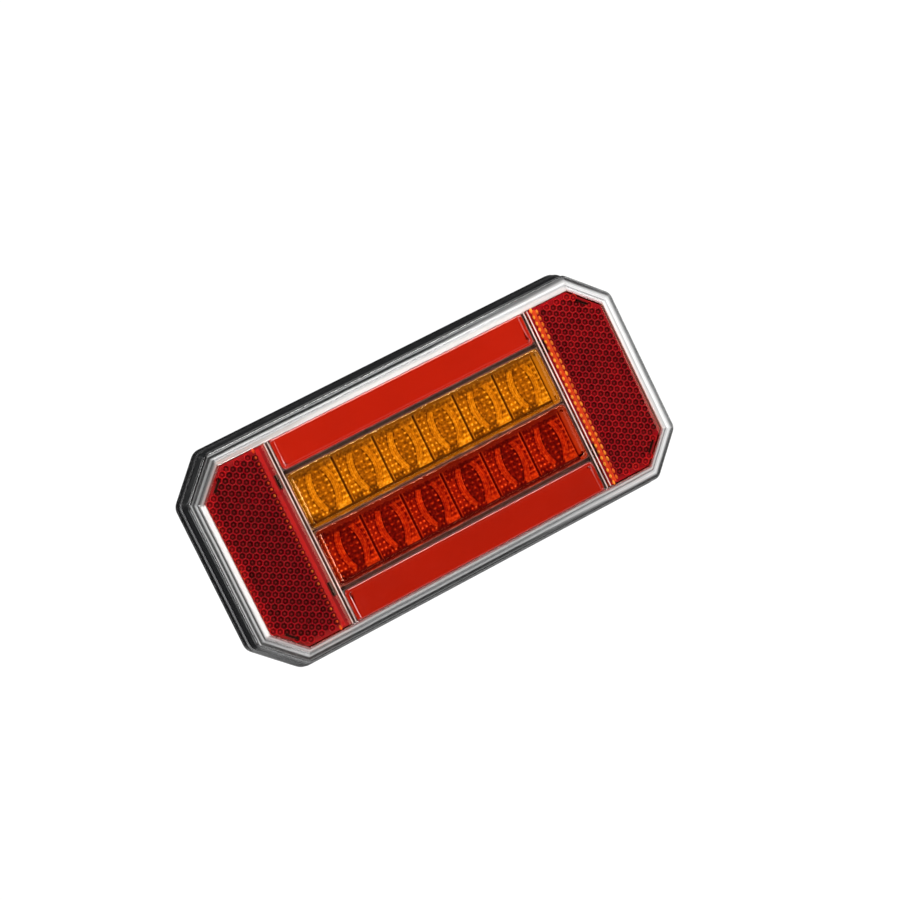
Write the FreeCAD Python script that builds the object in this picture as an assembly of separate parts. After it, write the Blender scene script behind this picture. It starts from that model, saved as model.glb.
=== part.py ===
import FreeCAD, Part
import math
import os

# Rear lamp for a trailer: indicator, stop and tail light with two reflex reflectors, in one sealed
# housing held by two studs. The lamp stands as it is fitted: its face looks towards -Y, its long side
# lies along X and +Z is up. The origin is in the mounting plane, midway between the two studs.

V = FreeCAD.Vector

# ---- driving dimensions, in millimetres ----
# Coloured front area: an octagon, from which every other outline is an offset.
face_width = 210.0
face_height = 91.5
face_chamfer = 13.4
corner_share = 0.65          # an outline offset by d has corners rounded to this share of d

# Offsets of the outlines, outwards from the coloured area.
flange_offset = 9.7
skirt_offset = 9.1
wall_foot_offset = 8.2       # the wall narrows from here
wall_top_offset = 7.4        # to here, at the lens
rim_offset = 6.9             # outer edge of the clear lens
tongue_offset = 5.9          # outer side of the tongue below the rim
bevel_offset = 3.9           # foot of the lens's sloping edge
knee_offset = 2.2            # where that edge turns flatter
hollow_offset = 5.7          # inside of the housing

groove_depth = 0.7           # between flange and skirt
wall_fillet = 0.5
rim_fillet = 0.8

# Levels along Y, from the mounting plane towards the front.
gasket_front = -1.5
flange_front = -4.5
back_wall_front = -4.5
skirt_front = -10.5
board_back = -9.0
board_front = -10.6
ledge_back = -15.7
ledge_front = -18.2
tongue_back = -19.2
prism_back = -22.1
shoulder_front = -21.6
rim_back = -21.7
rim_front = -23.2
bevel_foot = -23.5
knee_front = -24.3
panel_back = -23.6
bar_front = -25.5
face_front = -26.0

# Windows of the lens.
window_half_width = 66.5
reflector_start = 69.0       # X where the reflectors begin
strip_low = 30.4             # the tail strips run from here to the edge of the face
window_high = 28.3
window_low = 0.55
window_corner = 2.0
edge_bevel = 1.8             # width of the sloping edge of each window
edge_drop = 0.4              # and its depth

# Recesses in the back of each reflector.
recess_depth = 0.8
clip_low = 23.7              # beside the bar, from here up to the tail strip
slot_x = 96.5                # middle of a slot that lies along an outer corner
slot_z = 37.8
slot_length = 6.5
slot_width = 1.3
backing_inset = 0.8
backing_thickness = 1.2

# Light shield between the chambers.
shield_half_width = 68.6
shield_half_height = 45.4
shield_wall = 1.7
shield_middle_wall = 0.9
optic_ledge = 1.0
optic_back = -17.4
optic_front = -19.0
diffuser_back = -18.5
diffuser_front = -20.0
diffuser_rib_width = 1.0
diffuser_rib_height = 2.0

# Lamps and electronics.
cell_count = 6
cell_pitch = 21.4
cell_height = {1: 14.3, -1: -15.1}    # Z of the upper and the lower row of cells
lens_ball_radius = 8.0       # bulge over each lamp: a slice of this ball
lens_ball_depth = 4.8
lens_radius = 6.4
arc_shift = 1.15             # the pair of arcs stands off the middle of its cell
arc_lift = 0.8
arc_radius = 19.0
arc_width = 2.9
arc_gap = 4.2                # from the middle of the pair to an arc
arc_reach = 9.6
arc_relief = 0.6
groove_width = 0.6           # between neighbouring cells
groove_half_height = 11.5
tail_led_count = 8
tail_led_pitch = 16.0
tail_led_height = 37.3
board_half_width = 70.0
board_half_height = 46.5
board_screw_x = 48.0
board_screw_radius = 1.1
board_screw_head = 2.8
board_screw_head_height = 1.6
board_hole_radius = 1.7
board_boss_radius = 3.2

# Mounting.
stud_spacing = 152.0
stud_radius = 3.0            # M6
stud_reach = 22.0            # from the mounting plane to the tip
stud_tip_chamfer = 0.7
stud_collar_radius = 4.0     # sealed in the housing
stud_head_flats = 10.0
stud_head_front = -7.6
stud_head_back = -4.0
stud_boss_radius = 9.0
stud_boss_front = -8.6
gasket_inset = 2.0           # from the flange to the gasket
gasket_inner_offset = -5.0
gasket_pad_radius = 13.0
gasket_hole_radius = 4.5
gasket_arm = (86.0, 102.0)   # X range of the arm that ties a pad to the ring
gasket_arm_half_width = 5.0
rib_places = (-92.0, -60.0, -30.0, 30.0, 60.0, 92.0)
rib_range = (30.0, 51.0)     # Z range of the housing's stiffening ribs
rib_width = 1.6
rib_height = 2.0

# Cable inlet with its rubber grommet.
inlet_z = -24.0
inlet_hole_radius = 7.0
cable_radius = 3.5
grommet_lip = 2.0            # how far its flanges cover the edge of the hole
grommet_inner_thickness = 1.5
grommet_outer_back = 0.5
grommet_nose_back = 8.0
grommet_nose_wall = 1.8


# ---- outlines and simple solids ----
def rounded_wire(corners, radii, y):
    """Closed outline in the plane y, from (x, z) corners, each rounded to its own radius."""
    edges = []
    starts = []
    ends = []
    count = len(corners)
    points = [V(x, y, z) for x, z in corners]
    for i in range(count):
        before = (points[i - 1] - points[i]).normalize()
        after = (points[(i + 1) % count] - points[i]).normalize()
        half_angle = before.getAngle(after) / 2
        reach = radii[i] / math.tan(half_angle)
        start = points[i] + before * reach
        end = points[i] + after * reach
        starts.append(start)
        ends.append(end)
        if radii[i] > 0:
            inward = (before + after).normalize()
            centre = points[i] + inward * (radii[i] / math.sin(half_angle))
            middle = centre - inward * radii[i]
            edges.append(Part.Arc(start, middle, end).toShape())
        else:
            edges.append(None)
    sides = []
    for i in range(count):
        if edges[i]:
            sides.append(edges[i])
        sides.append(Part.makeLine(ends[i], starts[(i + 1) % count]))
    return Part.Wire(sides)


def octagon_wire(offset, y):
    """The face's octagon, offset outwards (or inwards, below zero), at the level y."""
    half_x = face_width / 2 + offset
    half_z = face_height / 2 + offset
    cut = face_chamfer + offset * (2 - math.sqrt(2))
    quarter = [(half_x, half_z - cut), (half_x - cut, half_z)]
    corners = []
    corners += [(x, z) for x, z in quarter]
    corners += [(-x, z) for x, z in reversed(quarter)]
    corners += [(-x, -z) for x, z in quarter]
    corners += [(x, -z) for x, z in reversed(quarter)]
    radius = max(0.0, offset * corner_share)
    return rounded_wire(corners, [radius] * len(corners), y)


def rectangle_wire(x0, x1, z0, z1, y, low_radius=0.0, high_radius=0.0):
    corners = [(x0, z0), (x1, z0), (x1, z1), (x0, z1)]
    return rounded_wire(corners, [low_radius, low_radius, high_radius, high_radius], y)


def raised(wire, y):
    """Solid from a flat outline to the level y."""
    start = wire.BoundBox.YMin
    return Part.Face(wire).extrude(V(0, y - start, 0))


def octagon_slab(offset, back, front):
    return raised(octagon_wire(offset, back), front)


def block(x0, x1, z0, z1, back, front):
    return Part.makeBox(x1 - x0, abs(front - back), z1 - z0, V(x0, min(back, front), z0))


def rod(radius, x, z, back, front):
    """Round bar along Y."""
    return Part.makeCylinder(radius, abs(front - back), V(x, min(back, front), z), V(0, 1, 0))


def joined(first, *others):
    return first.fuse(list(others)).removeSplitter()


def save(name, shape):
    shape.exportStep("parts/" + name + ".step")


def save_group(name, solids):
    """Identical pieces share one file, each as its own solid."""
    save(name, Part.makeCompound(solids))


# ---- rear housing ----
def mounting_stud(x):
    """Hexagon-headed stud: head and collar are sealed in the housing, the shank stands out behind."""
    shank = rod(stud_radius, x, 0, gasket_front, stud_reach)
    tip = max(shank.Edges, key=lambda edge: edge.CenterOfMass.y)
    shank = shank.makeChamfer(stud_tip_chamfer, [tip])
    corner = stud_head_flats / math.sqrt(3)
    turns = [math.radians(60 * i) for i in range(6)]
    corners = [(x + corner * math.cos(t), corner * math.sin(t)) for t in turns]
    head = raised(rounded_wire(corners, [0.0] * 6, stud_head_back), stud_head_front)
    collar = rod(stud_collar_radius, x, 0, stud_head_back, gasket_front)
    return joined(shank, collar, head)


def stud_places():
    return (-stud_spacing / 2, stud_spacing / 2)


def mounting_studs():
    return [mounting_stud(x) for x in stud_places()]


def board_screw_places():
    heights = (-tail_led_height, tail_led_height)
    return [(x, z) for x in (-board_screw_x, board_screw_x) for z in heights]


def rear_housing():
    flange = octagon_slab(flange_offset, gasket_front, flange_front)
    groove_front = flange_front - groove_depth
    groove = octagon_slab(wall_foot_offset, flange_front, groove_front)
    skirt = octagon_slab(skirt_offset, groove_front, skirt_front)
    wall_foot = octagon_wire(wall_foot_offset, skirt_front)
    wall_top = octagon_wire(wall_top_offset, shoulder_front)
    wall = Part.makeLoft([wall_foot, wall_top], True, True)
    front_edges = [edge for edge in wall.Edges if edge.BoundBox.YMax < shoulder_front + 0.01]
    wall = wall.makeFillet(wall_fillet, front_edges)
    shell = joined(flange, groove, skirt, wall)
    hollow = octagon_slab(hollow_offset, back_wall_front, ledge_back)
    throat = octagon_slab(bevel_offset - 1.0, ledge_back, ledge_front)
    lens_seat = octagon_slab(tongue_offset + 0.1, ledge_front, shoulder_front - 1)
    shell = shell.cut([hollow, throat, lens_seat])
    bosses = [rod(board_boss_radius, x, z, back_wall_front, board_back) for x, z in board_screw_places()]
    bosses += [rod(stud_boss_radius, x, 0, back_wall_front, stud_boss_front) for x in stud_places()]
    ribs = []
    for x in rib_places:
        for side in (-1, 1):
            low, high = sorted(side * end for end in rib_range)
            ribs.append(block(x - rib_width / 2, x + rib_width / 2, low, high,
                              back_wall_front, back_wall_front - rib_height))
    shell = joined(shell, *bosses, *ribs)
    holes = [rod(board_screw_radius, x, z, back_wall_front, board_back) for x, z in board_screw_places()]
    holes.append(rod(inlet_hole_radius, 0, inlet_z, gasket_front, back_wall_front))
    shell = shell.cut(holes)
    return shell.cut(mounting_studs())


def cable_grommet():
    """Rubber bush in the cable inlet: a groove holds the back wall of the housing."""
    lip = inlet_hole_radius + grommet_lip
    inner_front = back_wall_front - grommet_inner_thickness
    inner = rod(lip, 0, inlet_z, back_wall_front, inner_front)
    waist = rod(inlet_hole_radius, 0, inlet_z, gasket_front, back_wall_front)
    outer = rod(lip, 0, inlet_z, gasket_front, grommet_outer_back)
    nose = Part.makeCone(inlet_hole_radius, cable_radius + grommet_nose_wall,
                         grommet_nose_back - grommet_outer_back,
                         V(0, grommet_outer_back, inlet_z), V(0, 1, 0))
    bore = rod(cable_radius, 0, inlet_z, inner_front, grommet_nose_back)
    return joined(inner, waist, outer, nose).cut(bore)


def mounting_gasket():
    """Foam ring between the housing and the vehicle, with a pad round each stud."""
    ring = octagon_slab(flange_offset - gasket_inset, 0, gasket_front)
    ring = ring.cut(octagon_slab(gasket_inner_offset, 0, gasket_front))
    pads = [rod(gasket_pad_radius, x, 0, 0, gasket_front) for x in stud_places()]
    holes = [rod(gasket_hole_radius, x, 0, 0, gasket_front) for x in stud_places()]
    arms = []
    for side in (-1, 1):
        near, far = sorted(side * end for end in gasket_arm)
        arms.append(block(near, far, -gasket_arm_half_width, gasket_arm_half_width, 0, gasket_front))
    return joined(ring, *pads, *arms).cut(holes)


# ---- front lens ----
def reflector_outline(side, back, front):
    """The coloured area on one side of the windows."""
    near, far = sorted((side * reflector_start, side * face_width))
    end = block(near, far, -face_height, face_height, back, front)
    return octagon_slab(0, back, front).common(end)


def corner_slot(side, up):
    """Recess in the back of a reflector, along one of its outer corners."""
    slot = block(-slot_length / 2, slot_length / 2, -slot_width / 2, slot_width / 2,
                 prism_back, prism_back - recess_depth)
    slot.rotate(V(0, 0, 0), V(0, 1, 0), 45 * side * up)
    slot.translate(V(side * slot_x, 0, up * slot_z))
    return slot


def reflector(side):
    """Reflex reflector: a plate with recesses behind and a sloping inner edge."""
    plate = reflector_outline(side, prism_back, face_front)
    near, far = sorted((side * reflector_start, side * (reflector_start + edge_bevel)))
    start = V(side * reflector_start, face_front, -face_height)
    corners = [start, start + V(side * edge_bevel, 0, 0), start + V(0, edge_drop, 0), start]
    cuts = [Part.Face(Part.makePolygon(corners)).extrude(V(0, 0, 2 * face_height))]
    for up in (-1, 1):
        low, high = sorted((up * clip_low, up * strip_low))
        cuts.append(block(near, far, low, high, prism_back, prism_back - recess_depth))
        cuts.append(corner_slot(side, up))
    return plate.cut(cuts)


def reflector_backing(side):
    """Cap welded behind the prisms, so that they keep their air gap."""
    near, far = sorted((side * (reflector_start + backing_inset), side * face_width))
    back = prism_back + backing_thickness
    end = block(near, far, -face_height, face_height, back, prism_back)
    return octagon_slab(-backing_inset, back, prism_back).common(end)


def lens_window(z0, z1, low_corner, high_corner):
    """Coloured window with sloping edges on the sides that have rounded corners."""
    low_bevel = edge_bevel if low_corner > 0 else 0
    high_bevel = edge_bevel if high_corner > 0 else 0
    x = window_half_width
    top = x - edge_bevel
    slope = face_front + edge_drop
    corners = (low_corner, high_corner)
    base = raised(rectangle_wire(-x, x, z0, z1, panel_back, *corners), slope)
    foot = rectangle_wire(-x, x, z0, z1, slope, *corners)
    crown = rectangle_wire(-top, top, z0 + low_bevel, z1 - high_bevel, face_front, *corners)
    return joined(base, Part.makeLoft([foot, crown], True, True))


def tail_panel(side):
    edge = face_height / 2
    if side > 0:
        return lens_window(strip_low, edge, window_corner, 0)
    return lens_window(-edge, -strip_low, 0, window_corner)


def signal_window(side):
    z0, z1 = sorted((side * window_low, side * window_high))
    return lens_window(z0, z1, window_corner, window_corner)


def lens_frame():
    """Clear border and bars of the lens, with the tongue that closes the housing."""
    crown = octagon_wire(0.3, face_front)
    knee = octagon_wire(knee_offset, knee_front)
    foot = octagon_wire(bevel_offset, bevel_foot)
    steep = Part.makeLoft([crown, knee], True, True)
    flat = Part.makeLoft([knee, foot], True, True)
    rim = octagon_slab(rim_offset, rim_back, rim_front)
    lip = [edge for edge in rim.Edges if edge.BoundBox.YMax < rim_front + 0.01]
    rim = rim.makeFillet(0.8, lip)
    tongue = octagon_slab(tongue_offset, tongue_back, rim_back)
    collar = octagon_slab(bevel_offset, rim_front + 1, bevel_foot)
    border = joined(steep, flat, rim, tongue, collar)
    border = border.cut(octagon_slab(bevel_offset - 0.2, tongue_back, -22.0))
    border = border.cut(octagon_slab(0, tongue_back, face_front))
    bars = octagon_slab(0, panel_back, bar_front)
    panes = [reflector_outline(side, prism_back, face_front) for side in (-1, 1)]
    panes += [tail_panel(side) for side in (-1, 1)]
    panes += [signal_window(side) for side in (-1, 1)]
    return joined(border, bars.cut(panes))


def lens_seal():
    """Silicone cord under the tongue of the lens."""
    outside = octagon_slab(tongue_offset - 0.1, ledge_front, tongue_back)
    return outside.cut(octagon_slab(bevel_offset, ledge_front, tongue_back))


# ---- light shield, optics and diffusers ----
half_wall = shield_wall / 2
chamber_x = shield_half_width - shield_wall
signal_chamber = (shield_middle_wall / 2, (window_high + strip_low) / 2 - half_wall)
tail_chamber = ((window_high + strip_low) / 2 + half_wall, shield_half_height - 1.2)


def chamber(side, heights, back, front, inset=0.0):
    z0, z1 = sorted((side * heights[0], side * heights[1]))
    return block(-chamber_x + inset, chamber_x - inset, z0 + inset, z1 - inset, back, front)


def light_shield():
    """Dark grid between the board and the lens, one chamber to each light."""
    width = shield_half_width
    height = shield_half_height
    shell = block(-width, width, -height, height, board_front, panel_back)
    for side in (-1, 1):
        shell = shell.cut(chamber(side, signal_chamber, board_front, optic_back, optic_ledge))
        shell = shell.cut(chamber(side, signal_chamber, optic_back, panel_back))
        shell = shell.cut(chamber(side, tail_chamber, board_front, diffuser_back, optic_ledge))
        shell = shell.cut(chamber(side, tail_chamber, diffuser_back, panel_back))
    return shell


def cell_centres(side):
    middle = (cell_count - 1) / 2
    return [(cell_pitch * (i - middle), cell_height[side]) for i in range(cell_count)]


def arc_rib(x, z, direction):
    """One of the pair of curved ribs that stand round the point (x, z)."""
    front = optic_front - arc_relief
    centre_x = x + direction * (arc_gap - arc_radius)
    outer = rod(arc_radius + arc_width, centre_x, z, optic_front, front)
    inner = rod(arc_radius, centre_x, z, optic_front, front)
    near, far = sorted((x, x + direction * (arc_gap + arc_width)))
    window = block(near, far, z - arc_reach, z + arc_reach, optic_front, front)
    return outer.cut(inner).common(window)


def signal_optic(side):
    """Clear plate over a row of cells: a lens over each lamp, curved ribs in front."""
    plate = chamber(side, signal_chamber, optic_back, optic_front)
    features = []
    for x, z in cell_centres(side):
        ball = Part.makeSphere(lens_ball_radius, V(x, optic_back - lens_ball_depth, z))
        features.append(ball.common(rod(lens_radius, x, z, optic_back, optic_back + lens_ball_radius)))
        features += [arc_rib(x + arc_shift, z + arc_lift, direction) for direction in (-1, 1)]
    grooves = []
    low = cell_height[side] - groove_half_height
    for i in range(1, cell_count):
        x = cell_pitch * (i - cell_count / 2)
        grooves.append(block(x - groove_width / 2, x + groove_width / 2, low,
                             low + 2 * groove_half_height, optic_front + groove_width, optic_front))
    return joined(plate, *features).cut(grooves)


def tail_diffuser(side):
    """White plate that spreads the light of a tail strip, with low ribs behind."""
    plate = chamber(side, tail_chamber, diffuser_back, diffuser_front)
    z0, z1 = sorted((side * tail_chamber[0], side * tail_chamber[1]))
    ribs = []
    for i in range(tail_led_count - 1):
        x = tail_led_pitch * (i + 1 - tail_led_count / 2)
        ribs.append(block(x - diffuser_rib_width / 2, x + diffuser_rib_width / 2,
                          z0 + diffuser_rib_height, z1 - diffuser_rib_height,
                          diffuser_back, diffuser_back + diffuser_rib_height))
    return joined(plate, *ribs)


# ---- circuit board and what it carries ----
def circuit_board():
    board = block(-board_half_width, board_half_width, -board_half_height, board_half_height,
                  board_back, board_front)
    holes = [rod(board_hole_radius, x, z, board_back, board_front) for x, z in board_screw_places()]
    return board.cut(holes)


def led(x, z, width, dome_radius):
    """Surface-mounted lamp: a square body with a clear dome."""
    half = width / 2
    body_front = board_front - 0.8
    body = block(x - half, x + half, z - half, z + half, board_front, body_front)
    dome = Part.makeSphere(dome_radius, V(x, body_front, z))
    front_half = rod(dome_radius, x, z, body_front, body_front - dome_radius)
    return joined(body, dome.common(front_half))


def signal_leds(side):
    return [led(x, z, 3.5, 1.4) for x, z in cell_centres(side)]


def tail_leds(side):
    middle = (tail_led_count - 1) / 2
    return [led(tail_led_pitch * (i - middle), side * tail_led_height, 2.8, 1.1)
            for i in range(tail_led_count)]


def board_screw(x, z):
    """Pan-headed screw through the board into its boss."""
    head_front = board_front - board_screw_head_height
    slot_back = board_front - board_screw_head_height / 2
    long = board_screw_head / 2
    short = 0.3
    shank = rod(board_screw_radius, x, z, board_front, back_wall_front - 0.5)
    head = rod(board_screw_head, x, z, board_front, head_front)
    ring = min(head.Edges, key=lambda edge: edge.BoundBox.YMax)
    head = head.makeFillet(board_screw_head_height / 2, [ring])
    slots = [block(x - long, x + long, z - short, z + short, slot_back, head_front),
             block(x - short, x + short, z - long, z + long, slot_back, head_front)]
    return joined(shank, head).cut(slots)


def behind_board(x, z, width, height, thickness):
    """Rectangular component soldered to the back of the board."""
    return block(x - width / 2, x + width / 2, z - height / 2, z + height / 2,
                 board_back, board_back + thickness)


def driver_chips():
    """Regulator chips in flat packages, with four leads on each side."""
    lead_pitch = 1.27
    chips = []
    for x, z in ((-30.0, 14.0), (30.0, 14.0), (-30.0, -24.0), (30.0, -24.0)):
        body = behind_board(x, z, 5.0, 4.0, 1.6)
        leads = [behind_board(x + lead_pitch * (i - 1.5), z + side * 2.5, 0.42, 1.2, 0.5)
                 for i in range(4) for side in (-1, 1)]
        chips.append(joined(body, *leads))
    return chips


def resistors():
    places = [(8.0 * (i - 5.5), side * 5.0) for i in range(12) for side in (-1, 1)]
    return [behind_board(x, z, 3.2, 1.6, 0.6) for x, z in places]


def capacitors():
    places = [(x, z) for x in (-42.0, -18.0, 18.0, 42.0) for z in (-24.0, 14.0)]
    return [behind_board(x, z, 3.2, 2.5, 2.2) for x, z in places]


def protection_diodes():
    return [behind_board(9.0 * (i - 1.5), -33.0, 4.4, 2.6, 2.3) for i in range(4)]


def wire_terminals():
    """Row of tinned solder cups for the cores of the cable."""
    count = 5
    pitch = 4.5
    height = 4.0
    middle_z = -12.5
    cups = []
    for i in range(count):
        x = pitch * (i - (count - 1) / 2)
        start = V(x, board_back + 1.7, middle_z - height / 2)
        foot = behind_board(x, middle_z, 3.0, height, 0.6)
        barrel = Part.makeCylinder(1.3, height, start, V(0, 0, 1))
        bore = Part.makeCylinder(0.9, height, start, V(0, 0, 1))
        cups.append(joined(foot, barrel).cut(bore))
    return cups


save("rear_housing", rear_housing())
save("cable_grommet", cable_grommet())
save("mounting_gasket", mounting_gasket())
save_group("mounting_studs", mounting_studs())
save("lens_frame", lens_frame())
save("lens_seal", lens_seal())
save("light_shield", light_shield())
save("circuit_board", circuit_board())
save_group("board_screws", [board_screw(x, z) for x, z in board_screw_places()])
save_group("driver_chips", driver_chips())
save_group("resistors", resistors())
save_group("capacitors", capacitors())
save_group("protection_diodes", protection_diodes())
save_group("wire_terminals", wire_terminals())
for side, hand in ((-1, "left"), (1, "right")):
    save("reflector_" + hand, reflector(side))
    save("reflector_backing_" + hand, reflector_backing(side))
for side, level, signal in ((-1, "lower", "stop"), (1, "upper", "indicator")):
    save("tail_panel_" + level, tail_panel(side))
    save("tail_diffuser_" + level, tail_diffuser(side))
    save_group("tail_leds_" + level, tail_leds(side))
    save(signal + "_window", signal_window(side))
    save(signal + "_optic", signal_optic(side))
    save_group(signal + "_leds", signal_leds(side))
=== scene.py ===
import math

import bpy
import numpy as np
from mathutils import Matrix, Vector


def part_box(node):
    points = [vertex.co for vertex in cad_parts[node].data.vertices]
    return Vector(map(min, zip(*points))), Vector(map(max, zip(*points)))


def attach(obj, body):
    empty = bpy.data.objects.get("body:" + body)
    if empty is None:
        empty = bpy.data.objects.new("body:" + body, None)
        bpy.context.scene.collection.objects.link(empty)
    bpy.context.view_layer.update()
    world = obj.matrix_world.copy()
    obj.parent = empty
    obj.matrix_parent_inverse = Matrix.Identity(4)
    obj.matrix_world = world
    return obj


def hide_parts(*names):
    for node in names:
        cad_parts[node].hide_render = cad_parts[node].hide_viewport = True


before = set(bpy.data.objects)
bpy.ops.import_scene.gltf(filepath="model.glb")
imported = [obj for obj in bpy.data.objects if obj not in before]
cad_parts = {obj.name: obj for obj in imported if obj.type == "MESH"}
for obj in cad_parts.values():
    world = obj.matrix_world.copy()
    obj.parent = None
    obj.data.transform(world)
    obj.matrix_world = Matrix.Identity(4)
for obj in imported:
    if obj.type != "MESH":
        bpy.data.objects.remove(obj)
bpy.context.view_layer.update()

# Looks of a trailer tail light. Everything is in metres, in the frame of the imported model: the lit
# face looks towards -Y, +X is to the right of a person facing it, and +Z is up. Sizes of small parts
# are given in millimetres.

MM = 0.001
ROOT = "root"

# Octagon of the coloured area, in millimetres.
FACE_HALF_X = 105.0
FACE_HALF_Z = 45.75
FACE_CUT = 13.4

# Clear border: painted highlights and shade, colour or grey at each distance in millimetres outside the
# octagon.
BORDER_WIDTH = 8.0
# The pinkish first stops of both are a painted reflection of the red parts beside the border.
BORDER_PAINTED_LIGHT_LEFT = ((0.0, (0.6, 0.4, 0.36)), (0.6, (0.58, 0.53, 0.5)), (1.5, (0.5, 0.49, 0.48)),
                     (2.1, 0.3), (2.7, 0.12), (3.1, 0.04), (3.5, 0.5), (4.0, 0.3), (4.5, 0.02),
                     (5.2, 0.02), (5.7, 0.45), (6.1, 0.05), (6.9, 0.0))
BORDER_PAINTED_LIGHT_RIGHT = ((0.0, (0.6, 0.4, 0.36)), (1.0, (0.56, 0.54, 0.52)), (1.9, 0.45), (2.5, 0.2),
                      (3.0, 0.45), (3.5, 0.8), (4.6, 0.6), (5.4, 0.15), (5.9, 0.1), (6.3, 0.03),
                      (6.9, 0.0))
# The right-hand tones are painted brighter, where the light falls from the right.
RIGHT_SHARE_AT_MIDDLE = -0.2     # share of the right-hand tones at the middle of the lamp
RIGHT_SHARE_PER_MM = 0.012       # and how it grows to the right
BORDER_WAVER = 0.5               # how far the steps waver, in millimetres

# How far the painted steps hide what lies below them, and how dark their painted shade is: both by the
# same distance, as a share of the border's width. The painted shade lies along the chamfers and the
# bottom, and its first stops are a painted reflection of the red parts.
BORDER_BODY = ((0.0, 0.0), (0.02, 0.6), (0.24, 0.6), (0.3, 0.8), (0.8, 0.8))
BORDER_SHADE = ((0.0, (0.7, 0.05, 0.03)), (0.07, (0.5, 0.04, 0.03)), (0.1, 0.12), (0.15, 1.0),
                (0.23, 1.0), (0.28, 0.2), (0.35, 0.9), (0.4, 1.0), (0.44, 0.4), (0.48, 1.0),
                (0.63, 1.0), (0.68, 0.3), (1.0, 0.3))
SHADE_START = 44.0               # millimetres below the middle of the lamp
BORDER_IOR = 1.6
BORDER_TINT = (0.97, 0.98, 0.975, 1)
BORDER_RIPPLE = 0.002            # millimetres

# Coloured plastics.
ACRYLIC_IOR = 1.49
WINDOW_RIPPLE = 0.0008           # millimetres
STRIP_RED = (0.4, 0.01, 0.002)


# ---- node materials ----
class Nodes:
    """A material's node tree with short ways to add and join nodes."""

    def __init__(self, name):
        self.material = bpy.data.materials.new(name)
        self.material.use_nodes = True
        self.tree = self.material.node_tree
        self.tree.nodes.clear()
        self.output = self.add("ShaderNodeOutputMaterial")

    def add(self, kind, **settings):
        node = self.tree.nodes.new(kind)
        for key, value in settings.items():
            setattr(node, key, value)
        return node

    def join(self, source, target):
        self.tree.links.new(source, target)

    def feed(self, source, target):
        """Joins an output to an input, or sets the input when the source is a plain number."""
        if isinstance(source, float):
            target.default_value = source
        else:
            self.join(source, target)

    def place(self):
        """Object coordinates in millimetres."""
        where = self.add("ShaderNodeTexCoord")
        scale = self.add("ShaderNodeVectorMath", operation="SCALE")
        scale.inputs["Scale"].default_value = 1 / MM
        self.join(where.outputs["Object"], scale.inputs[0])
        return scale.outputs["Vector"]

    def parts_of(self, vector):
        """The X, Y and Z of a vector, by name."""
        parts = self.add("ShaderNodeSeparateXYZ")
        self.join(vector, parts.inputs["Vector"])
        return parts.outputs

    def noise(self, size, detail=2.0):
        """Noise whose features are about size millimetres across."""
        scaled = self.add("ShaderNodeVectorMath", operation="MULTIPLY")
        scaled.inputs[1].default_value = [1 / size] * 3
        self.join(self.place(), scaled.inputs[0])
        texture = self.add("ShaderNodeTexNoise")
        texture.inputs["Scale"].default_value = 1.0
        texture.inputs["Detail"].default_value = detail
        self.join(scaled.outputs["Vector"], texture.inputs["Vector"])
        return texture.outputs["Fac"]

    def ramp(self, source, stops):
        """Colour ramp: stops are (position, colour) or (position, grey)."""
        node = self.add("ShaderNodeValToRGB")
        elements = node.color_ramp.elements
        while len(elements) < len(stops):
            elements.new(0.5)
        for element, (position, colour) in zip(elements, stops):
            element.position = position
            rgb = colour if isinstance(colour, (tuple, list)) else (colour,) * 3
            element.color = (*rgb, 1)
        self.join(source, node.inputs["Fac"])
        return node.outputs["Color"]

    def mix(self, share, under, over, blend_type="MIX"):
        """Blend of two colours."""
        node = self.add("ShaderNodeMixRGB", blend_type=blend_type, use_clamp=True)
        self.feed(share, node.inputs["Fac"])
        self.join(under, node.inputs["Color1"])
        self.join(over, node.inputs["Color2"])
        return node.outputs["Color"]

    def sum_of(self, first, second, scale=1.0):
        """The first value times scale, plus the second."""
        total = self.add("ShaderNodeMath", operation="MULTIPLY_ADD")
        self.join(first, total.inputs[0])
        total.inputs[1].default_value = scale
        self.feed(second, total.inputs[2])
        return total.outputs["Value"]

    def larger(self, first, second):
        most = self.add("ShaderNodeMath", operation="MAXIMUM")
        self.join(first, most.inputs[0])
        self.join(second, most.inputs[1])
        return most.outputs["Value"]

    def bump(self, source, height):
        """Surface relief of the given height in millimetres."""
        node = self.add("ShaderNodeBump")
        node.inputs["Strength"].default_value = 1.0
        node.inputs["Distance"].default_value = height * MM
        self.join(source, node.inputs["Height"])
        return node.outputs["Normal"]

    def glass(self, ior, ripple):
        """Polished glass with faint smears, and the relief of its ripples."""
        shader = self.add("ShaderNodeBsdfGlass")
        shader.inputs["IOR"].default_value = ior
        smears = self.ramp(self.noise(5.0, 5.0), [(0.45, 0.0), (0.75, 0.03)])
        self.join(smears, shader.inputs["Roughness"])
        relief = self.bump(self.noise(9.0), ripple)
        self.join(relief, shader.inputs["Normal"])
        return shader, relief

    def finish(self, surface):
        """The material, with this surface."""
        self.join(surface, self.output.inputs["Surface"])
        return self.material

    def finish_see_through(self, surface, tint=None):
        """The material, with this surface, which lets the light of lamps straight through."""
        opening = self.add("ShaderNodeBsdfTransparent")
        if tint is not None:
            self.join(tint, opening.inputs["Color"])
        rays = self.add("ShaderNodeLightPath")
        mix = self.add("ShaderNodeMixShader")
        self.join(rays.outputs["Is Shadow Ray"], mix.inputs["Fac"])
        self.join(surface, mix.inputs[1])
        self.join(opening.outputs["BSDF"], mix.inputs[2])
        return self.finish(mix.outputs["Shader"])


def shaded(values, factor):
    return tuple(value * factor for value in values)


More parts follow.
